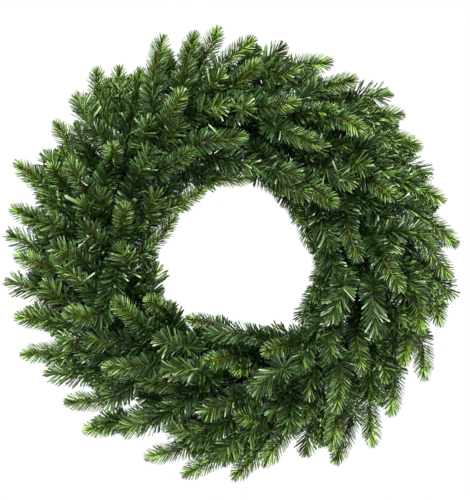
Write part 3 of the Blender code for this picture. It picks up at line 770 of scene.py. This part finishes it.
def add_needles(parts, roots, ways, ups, lengths, bend, look, rows):
    """Three-sided needles: a root, a way, the side that the ridge is on and a length."""
    count = len(roots)
    sides = unit(np.cross(ways, ups))
    ups = np.cross(sides, ways)
    rings = []
    for t, width in look["profile"]:
        middle = roots + ways * (lengths * t)[:, None]
        middle = middle + bend * (look["curl"] * lengths * t * t)[:, None]
        across, ridge = sides * look["half_width"] * width, ups * look["ridge"] * width
        rings += [middle - across - ridge * KEEL, middle + across - ridge * KEEL, middle + ridge]
    rings.append(roots + ways * lengths[:, None] + bend * (look["curl"] * lengths)[:, None])
    points = np.stack(rings, 1)
    points[..., 1] = np.minimum(points[..., 1], WALL + (points[..., 1] - WALL) * WALL_PRESS)
    quads, triangles = [], []
    # Each side joins two corners of the section, at two places across a map row.
    spans = ((0, 1, 0, 1), (1, 2, 1, 0.5), (2, 0, 0.5, 0))
    stations = [t for t, _ in look["profile"]]
    for ring, (low, high) in enumerate(zip(stations, stations[1:])):
        for a, b, va, vb in spans:
            a, b = 3 * ring + a, 3 * ring + b
            quads.append([(b, low, vb), (a, low, va), (a + 3, high, va), (b + 3, high, vb)])
    last, low = 3 * (len(stations) - 1), stations[-1]
    for a, b, va, vb in spans:
        triangles.append([(last + b, low, vb), (last + a, low, va), (last + 3, 1, (va + vb) / 2)])
    triangles.append([(0, 0, 0), (1, 0, 1), (2, END_PLACE, 0.5)])
    first = (np.arange(count) * points.shape[1])[:, None, None]
    faces = []
    for shape in (np.array(quads), np.array(triangles)):
        corners = (first + shape[..., 0].astype(int)).reshape(-1, shape.shape[1])
        placed = np.empty((count, *shape.shape[:2], 2))
        placed[..., 0] = shape[..., 1]
        placed[..., 1] = row_place(rows[:, None, None], shape[..., 2])
        faces.append((corners, placed, look["curl"] > 0))
    parts.add(points, faces, NEEDLE_SLOT)


def cells(grid):
    """The four corners of each cell of a grid, in order round the cell."""
    return np.stack([grid[:-1, :-1], grid[:-1, 1:], grid[1:, 1:], grid[1:, :-1]], 2)


def add_tube(parts, line, radii, sides, twist, lobes, band):
    """A wire along a line. Two lobes and a twist make it a twisted pair."""
    ways, across, up = frames_along(line)
    lengths = lengths_along(line)
    around = np.arange(sides) / sides * math.tau
    turn = around[None] + (lengths * twist)[:, None]
    bulge = 1 + lobes * np.cos(2 * around)
    reach = radii[:, None] * bulge[None]
    points = (
        line[:, None]
        + across[:, None] * (reach * np.cos(turn))[..., None]
        + up[:, None] * (reach * np.sin(turn))[..., None]
    )
    index = np.arange(points[..., 0].size).reshape(-1, sides)
    quads = cells(np.hstack([index, index[:, :1]]))
    v_low, v_high = band
    v = v_low + (v_high - v_low) * (np.arange(sides + 1) / sides)
    places = cells(np.stack(np.meshgrid(lengths / lengths[-1], v, indexing="ij"), -1))
    faces = [(quads.reshape(-1, 4), places, True)]
    spots = np.array([(CAP_PLACE, v_low), (CAP_PLACE, v_high), (END_PLACE, v_high)])
    for ring, order in ((0, -1), (len(line) - 1, 1)):
        corners = ring * sides + np.arange(sides)[::order]
        fan = np.stack([np.full(sides - 2, corners[0]), corners[1:-1], corners[2:]], -1)
        faces.append((fan, np.tile(spots, (len(fan), 1)), False))
    parts.add(points, faces, STEM_SLOT)


# Materials


def new_material(name):
    mat = bpy.data.materials.new(name)
    mat.use_nodes = True
    return mat, mat.node_tree, mat.node_tree.nodes["Principled BSDF"]


def fill(tree, node, inputs):
    """Gives each input its value, or links it to the output that holds it."""
    for name, value in inputs.items():
        socket = node.inputs[name]
        if isinstance(value, bpy.types.NodeSocket):
            tree.links.new(value, socket)
        else:
            socket.default_value = (*value, 1) if socket.type == "RGBA" else value


def new_node(tree, kind, inputs, **settings):
    node = tree.nodes.new("ShaderNode" + kind)
    for name, value in settings.items():
        setattr(node, name, value)
    fill(tree, node, inputs)
    return node


def maths(tree, operation, *values):
    inputs = dict(enumerate(values))
    return new_node(tree, "Math", inputs, operation=operation).outputs[0]


def mixed(tree, factor, a, b, blend="MIX"):
    """Two colours mixed. The numbers are those of the node's colour sockets."""
    inputs = {0: factor, 6: a, 7: b}
    return new_node(tree, "Mix", inputs, data_type="RGBA", blend_type=blend).outputs[2]


def ramp(tree, factor, stops):
    node = new_node(tree, "ValToRGB", {0: factor})
    elements = node.color_ramp.elements
    while len(elements) < len(stops):
        elements.new(0.5)
    for element, (place, colour) in zip(elements, stops):
        element.position = place
        element.color = (*colour, 1)
    return node.outputs[0]


def map_place(tree):
    """The place on the map that the colours are read from, whole and as u and v."""
    place = new_node(tree, "UVMap", {}, uv_map=MAP_NAME).outputs[0]
    split = new_node(tree, "SeparateXYZ", {0: place})
    return place, split.outputs[0], split.outputs[1]


def needle_material(kind):
    """Colour along the needle, by how near the tip's end it grows and by its look, with
    painted highlights at the pale needles' ends and along every needle's edges.
    """
    mat, tree, shader = new_material(kind + "_needle_plastic")
    colours = NEEDLE_COLOURS[kind]
    _, along, v = map_place(tree)
    rows = maths(tree, "MULTIPLY", v, MAP_ROWS)
    group = maths(tree, "DIVIDE", maths(tree, "FLOOR", rows), LOOK_COUNT)
    age = maths(tree, "DIVIDE", maths(tree, "FLOOR", group), AGE_GROUPS - 1)
    look = maths(tree, "FRACT", group)
    base = mixed(tree, age, ramp(tree, along, colours["old"]), ramp(tree, along, colours["young"]))
    # The looks' random spread is partly painted shade and painted highlight.
    colour = mixed(tree, 1, base, ramp(tree, look, SHADES), "MULTIPLY")
    # Needles of the last look get a painted highlight towards their ends.
    is_painted_highlight = maths(tree, "GREATER_THAN", look, PAINTED_HIGHLIGHT_LOOK)
    painted_highlight_mix = new_node(tree, "MapRange", {"Value": along, **PAINTED_HIGHLIGHT_RANGE}).outputs[0]
    painted_highlight_mix = maths(tree, "MULTIPLY", is_painted_highlight, painted_highlight_mix)
    colour = mixed(tree, painted_highlight_mix, colour, colours["pale"])
    # A painted highlight along each needle's edges
    off = maths(tree, "ABSOLUTE", maths(tree, "SUBTRACT", maths(tree, "FRACT", rows), 0.5))
    painted_edge_highlight = maths(tree, "MULTIPLY", maths(tree, "GREATER_THAN", off, EDGE_FROM), EDGE_PAINTED_HIGHLIGHT)
    colour = mixed(tree, painted_edge_highlight, colour, colours["pale"])
    fill(tree, shader, {"Base Color": colour, "Roughness": colours["roughness"]})
    fill(tree, shader, {"Specular IOR Level": NEEDLE_GLOSS})
    return mat


def stem_material(kind):
    """Mottled, and darker towards the foot by painted shade."""
    mat, tree, shader = new_material(kind + "_stem")
    colours, roughness = STEM_COLOURS[kind]
    place, along, _ = map_place(tree)
    place = new_node(tree, "Mapping", {"Vector": place, "Scale": MOTTLES}).outputs[0]
    mottles = new_node(tree, "TexNoise", {"Vector": place, **MOTTLE_GRAIN}).outputs[0]
    # Painted shade darkens the stem towards its foot, deep in the wreath.
    stem_painted_shade = ramp(tree, along, STEM_PAINTED_SHADE)
    colour = mixed(tree, 1, ramp(tree, mottles, colours), stem_painted_shade, "MULTIPLY")
    fill(tree, shader, {"Base Color": colour, "Roughness": roughness})
    return mat


def frame_material():
    """Green coated steel, a little worn."""
    mat, tree, shader = new_material("green_coated_steel")
    place = tree.nodes.new("ShaderNodeTexCoord").outputs["Object"]
    wear = new_node(tree, "TexNoise", {"Vector": place, **COATING_GRAIN}).outputs[0]
    colour = ramp(tree, wear, COATING)
    roughness = new_node(tree, "MapRange", {"Value": wear, **COATING_ROUGHNESS}).outputs[0]
    bump = new_node(tree, "Bump", {"Height": wear, **COATING_BUMP}).outputs[0]
    fill(tree, shader, {"Base Color": colour, "Roughness": roughness, "Normal": bump})
    return mat


# Branches


def parted(turns, front, parting):
    """Turns round a stem, moved off the front by up to the parting, in degrees."""
    off = wrapped(turns - front)
    parting = math.radians(parting)
    return front + np.sign(off) * (parting + np.abs(off) * (1 - parting / math.pi))


def needle_rows(stem, spot, left, is_crown, rng):
    """Each needle's row of the map, from how far it is from the stem's end and the rim,
    which painted light brightens.
    """
    count = len(left)
    age = np.clip(1 - left / (YOUNG_STRETCH * stem["youth"]), 0, 1)
    age *= np.where(is_crown, stem["bloom"] ** 2, stem["bloom"])
    rim = np.hypot(spot[:, 0], spot[:, 2] - RING_CENTRE_Z)
    # Painted light brightens every needle towards the rim.
    age = np.maximum(age, RIM_PAINTED_LIGHT * np.clip((rim - RIM_START) / RIM_STRETCH, 0, 1))
    looks = rng.integers(0, LOOK_COUNT - 1, count)
    # Some needles take the last look, a painted highlight.
    is_painted_highlight = (rng.random(count) < stem["pale_share"]) & ~is_crown
    looks = np.where(is_painted_highlight, LOOK_COUNT - 1, looks)
    return np.round(age * (AGE_GROUPS - 1)) * LOOK_COUNT + looks


def grow(parts, stem, line, start, stop, look, rng, radius):
    """Needles on the stretch of a stem's line between two lengths along it."""
    ways, across, up = frames_along(line)
    lengths = lengths_along(line)
    total = lengths[-1]
    run = stop - start
    spread, crown = max(round(run * look["density"]), 0), look["crown"]
    count = spread + crown
    if not count:
        return
    even = start + run * (np.arange(spread) + 0.5) / max(spread, 1)
    even = np.concatenate([even, np.full(crown, stop - CROWN_BACK)])
    unruly = look["unruly"]
    s = np.clip(even + rng.normal(0, SPACING_SPREAD * unruly, count), 0, total)
    left = total - s
    is_crown = np.arange(count) >= spread
    turns = np.arange(count) * (look["turn"] + ROW_DRIFT) * math.tau
    turns = turns + rng.uniform(0, FIRST_TURNS)

    def along_line(values):
        return np.stack([np.interp(s, lengths, values[:, i]) for i in range(3)], 1)

    spot, way = along_line(line), unit(along_line(ways))
    across, up = along_line(across), along_line(up)
    turns = parted(turns, np.arctan2(up @ FRONT, across @ FRONT), look["parting"])
    turns += rng.normal(0, TURN_SPREAD * unruly, count)
    side = across * np.cos(turns)[:, None] + up * np.sin(turns)[:, None]
    side = unit(side - way * (side * way).sum(1)[:, None])
    near_end = np.clip(1 - left / TAPER_STRETCH, 0, 1)
    lean = look["lean"] + (look["end_lean"] - look["lean"]) * near_end**LEAN_POWER
    lean = np.where(is_crown, rng.uniform(CROWN_LEAN, look["end_lean"], count), lean)
    lean = np.radians(lean + rng.normal(0, LEAN_SPREAD * unruly, count))
    aim = way * np.cos(lean)[:, None] + side * np.sin(lean)[:, None]
    size = rng.normal(1, SIZE_SPREAD * unruly, count).clip(*SIZE_LIMITS)
    size *= look["length"] * stem["reach"] * (1 - TAPER * near_end)
    ridge_side = np.cross(aim, rng.normal(0, 1, (count, 3)))
    if look["curl"]:
        ridge_side = np.cross(np.cross(aim, way), aim)
        ridge_side = ridge_side + RIDGE_SPREAD * rng.normal(0, 1, (count, 3))
    rows = needle_rows(stem, spot, left, is_crown, rng)
    root = spot + side * radius * ROOT_DEPTH
    kept = ~in_hook_space(root, aim, size)
    add_needles(parts, *(v[kept] for v in (root, aim, ridge_side, size, way)), look, rows[kept])


def tint(stem):
    """How much of a stem is young, how bright it is and how many of its needles take the
    painted highlight, from its layer. The low layer and the shoots differ partly by
    painted light and painted shade.
    """
    is_light, layer = stem["is_light"], stem["layer"]
    usual = LIGHT_BLOOM if is_light else BLOOM[stem["kind"]][layer]
    stem["youth"] = LIGHT_YOUTH if is_light else YOUTH.get(layer, 1)
    stem["bloom"] = min(usual * stem["tone"], 1)
    stem["pale_share"] = LIGHT_TIP_PAINTED_HIGHLIGHT_SHARE if is_light else PAINTED_HIGHLIGHT_SHARE[stem["kind"]]


def dress_stem(parts, stem, rng, band):
    """One stem of a branch: its wire and all its needles."""
    kind = stem["kind"]
    radius = STEM_RADIUS[kind]
    line = smooth_line(stem["path"])
    total = lengths_along(line)[-1]
    shown = (stem["path"][-1] - stem["path"][-2]).length
    foot = BARE_FOOT if stem["first"] else FORK_FOOT
    knee = max(total - shown, foot)
    if stem["layer"] == "shoot":
        grow(parts, stem, line, foot, total, NEEDLES["shoot"], rng, radius)
    else:
        grow(parts, stem, line, foot, knee, NEEDLES["hidden"], rng, radius)
        grow(parts, stem, line, knee, total, NEEDLES[kind], rng, radius)
    radii = np.full(len(line), radius)
    if stem["first"]:
        wind = winding(stem["branch_angle"], stem["ring"])
        line = np.vstack([wind, line[2:]])
        radii = np.where(np.arange(len(line)) < len(wind), WIND_RADIUS, radius)
    radii[-len(STEM_END):] *= STEM_END
    add_tube(parts, line, radii, STEM_SIDES, STEM_TWIST[kind], STEM_LOBES[kind], band)


def shoot_places():
    """Foot and end of every shoot: those at the back first, then those of the list."""
    for radius, count, depth, turn in BACK_SHOOTS:
        for i in range(count):
            angle = (i + 0.5) / count * math.tau
            foot = on_ring(angle, radius)
            end = on_ring(angle + turn, radius + BACK_SHOOT_OUTWARD)
            yield foot + FRONT * depth, end + FRONT * depth
    for x0, z0, x1, z1, depth in SHOOTS:
        yield tuple(at(x * MM, depth * MM, z * MM) for x, z in ((x0, z0), (x1, z1)))


def fork_shoots(stems):
    """A short stem for each shoot, from the stretch of a stem that is nearest its foot."""
    made = []
    for foot, end in shoot_places():
        spots = []
        for stem in stems:
            line = smooth_line(stem["path"][:-1])
            for spot, way in zip(line[2:-1], np.diff(line[2:], axis=0)):
                spots.append(((foot - Vector(spot)).length, Vector(spot), Vector(way), stem))
        _, spot, way, stem = min(spots, key=lambda row: row[0])
        way.normalize()
        knee = (foot + spot) / 2 + (end - foot) * SHOOT_BEND
        path = [spot - way * STEM_RADIUS["pine"], spot + way * SHOOT_START, knee, end]
        made.append({**stem, **PLAIN_SHOOT, "path": path})
    return made


def find_blades(stems):
    """Each stray blade's root, on the stem that it points back to, and its end."""
    spots = []
    for stem in stems:
        line = smooth_line(stem["path"])[3:]
        spots += [(x, z - RING_CENTRE_Z, -y, stem["branch"]) for x, y, z in line]
    spots = np.array(spots)
    made = []
    for x0, z0, x1, z1, width in BLADES:
        ends = np.array([(x0, z0), (x1, z1)]) * MM
        rows = []
        for here, there in (ends, ends[::-1]):
            way = (there - here) / np.linalg.norm(there - here)
            back = here - spots[:, :2]
            along, beside = back @ way, np.abs(back @ (-way[1], way[0]))
            price = beside * COST_BESIDE + np.abs(along) - spots[:, 2] * width * COST_BEHIND
            price[(along < -BLADE_BACK) | (along > BLADE_REACH)] = COST_BARRED
            best = int(price.argmin())
            rows.append((price[best], best, there))
        _, best, there = min(rows, key=lambda row: row[0])
        x, z, depth, branch = spots[best]
        end = at(there[0], depth + BLADE_RISE * width / USUAL_BLADE, there[1])
        made.append((int(branch), at(x, depth, z), end, width * MM / 2))
    return made


def add_blades(parts, blades, rng):
    for _, root, end, half_width in blades:
        way = np.array((end - root).normalized())[None]
        look = {**NEEDLES["hidden"], "half_width": half_width, "ridge": half_width * BLADE_RIDGE}
        up = np.array([BLADE_FACING]) + rng.normal(0, BLADE_TILT, (1, 3))
        # Blades take the last look, whose pale ends are a painted highlight.
        row = np.array([(BLADE_AGE + 1) * LOOK_COUNT - 1.0])
        size = np.array([(end - root).length])
        add_needles(parts, np.array(root)[None], way, up, size, way, look, row)


def make_branch(number, branch, stems, blades, name, materials):
    rng = np.random.default_rng(SEED + number)
    parts = Parts()
    mine = [stem for stem in stems if stem["branch"] == number]
    low = 1 - STEM_ROWS / MAP_ROWS
    high = 1 - 1 / MAP_ROWS
    for i, stem in enumerate(mine):
        stem["branch_angle"] = branch["angle"]
        band = [low + (high - low) * (i + end) / len(mine) for end in (0, STEM_BAND_SHARE)]
        dress_stem(parts, stem, rng, band)
    add_blades(parts, [blade for blade in blades if blade[0] == number], rng)
    piece = parts.build(name + "_foliage", materials[branch["kind"]])
    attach(piece, "root")
    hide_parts(name)


def swollen(wire, bulge, off):
    """A wire's radius near a weld, from how far off the weld is."""
    return wire + bulge * np.exp(-(off**2))


def make_frame():
    """The two rings, whose ends meet in a butt weld, and the ties welded between them."""
    parts = Parts()
    for ring, joint in zip(RINGS, RING_JOINTS):
        angles = joint + np.linspace(0, math.tau, RING_SEGMENTS + 1)
        line = np.array([on_ring(a, ring) for a in angles])
        off = np.minimum(angles - joint, joint + math.tau - angles) * ring
        radii = swollen(RING_WIRE, JOINT_BULGE, off / JOINT_SPREAD)
        add_tube(parts, line, radii, RING_SIDES, 0, 0, RING_BAND)
    for angle in TIE_ANGLES:
        share = np.linspace(0, 1, TIE_SEGMENTS + 1)[:, None]
        end, start = (np.array(on_ring(angle, ring)) for ring in RINGS)
        line = start + (end - start) * share
        off = np.minimum(share, 1 - share)[:, 0] * (OUTER_RING - INNER_RING)
        radii = swollen(TIE_WIRE, WELD_BULGE, off / WELD_SPREAD)
        add_tube(parts, line, radii, TIE_SIDES, 0, 0, TIE_BAND)
    # Tubes take the second of a piece's two materials.
    piece = parts.build("wire_frame_wires", [frame_material(), frame_material()])
    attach(piece, "root")
    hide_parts("wire_frame")


# Studio


def make_camera():
    data = bpy.data.cameras.new("camera")
    data.sensor_fit = "HORIZONTAL"
    data.sensor_width = SENSOR
    distance = CAMERA_DISTANCE - MATCH_DEPTH
    data.lens = SENSOR * distance / (PHOTO_WIDTH * PIXEL)
    data.clip_end = CLIP_END
    camera = place_object("camera", data)
    x = (PHOTO_WIDTH / 2 - MIDDLE_X) * PIXEL
    z = (MIDDLE_Y - PHOTO_HEIGHT / 2) * PIXEL
    camera.location = at(x, CAMERA_DISTANCE, z)
    camera.rotation_euler = (math.pi / 2, 0, 0)
    bpy.context.scene.camera = camera


def make_light(name, place, size, power):
    data = bpy.data.lights.new(name, "AREA")
    data.shape = "DISK"
    data.size = size
    data.energy = power
    light = place_object(name, data)
    light.location = place
    aim = at(0, 0, 0) - Vector(place)
    light.rotation_euler = aim.to_track_quat("-Z", "Y").to_euler()


def make_studio():
    bpy.ops.mesh.primitive_circle_add(
        vertices=FLOOR_SIDES, radius=FLOOR_RADIUS, fill_type="NGON", location=(0, 0, FLOOR_Z)
    )
    floor = bpy.context.object
    floor.name = "floor"
    mat, tree, shader = new_material("floor")
    fill(tree, shader, {"Base Color": FLOOR_COLOUR, "Roughness": FLOOR_ROUGHNESS})
    floor.data.materials.append(mat)
    for name, light in LIGHTS.items():
        make_light(name, *light)
    make_world()
    bpy.context.scene.view_settings.view_transform = "Standard"


def make_world():
    """White to the camera, as the photo's background is, and dimmer as a light."""
    world = bpy.data.worlds.new("studio")
    world.use_nodes = True
    tree, ground = world.node_tree, world.node_tree.nodes["Background"]
    is_seen = tree.nodes.new("ShaderNodeLightPath").outputs["Is Camera Ray"]
    strength = maths(tree, "MULTIPLY_ADD", is_seen, 1 - AMBIENT, AMBIENT)
    fill(tree, ground, {"Color": (1, 1, 1), "Strength": strength})
    bpy.context.scene.world = world


def main():
    make_camera()
    make_studio()
    draw = random.Random(SEED)
    tips = [read_tip("fir", row, draw) for row in FIR_TIPS]
    tips += [read_tip("pine", row, draw) for row in PINE_TIPS]
    branches = group_tips(tips)
    spread_wraps(branches)
    branches.sort(key=lambda b: b["angle"] % math.tau)
    stems = route_stems(branches)
    blades = find_blades(stems)
    stems += fork_shoots(stems)
    for stem in stems:
        tint(stem)
    materials = {kind: [needle_material(kind), stem_material(kind)] for kind in END_NEEDLE}
    made = {"fir": 0, "pine": 0}
    for number, branch in enumerate(branches):
        made[branch["kind"]] += 1
        name = f"{branch['kind']}_branch_{made[branch['kind']]:02d}"
        make_branch(number, branch, stems, blades, name, materials)
    make_frame()


main()
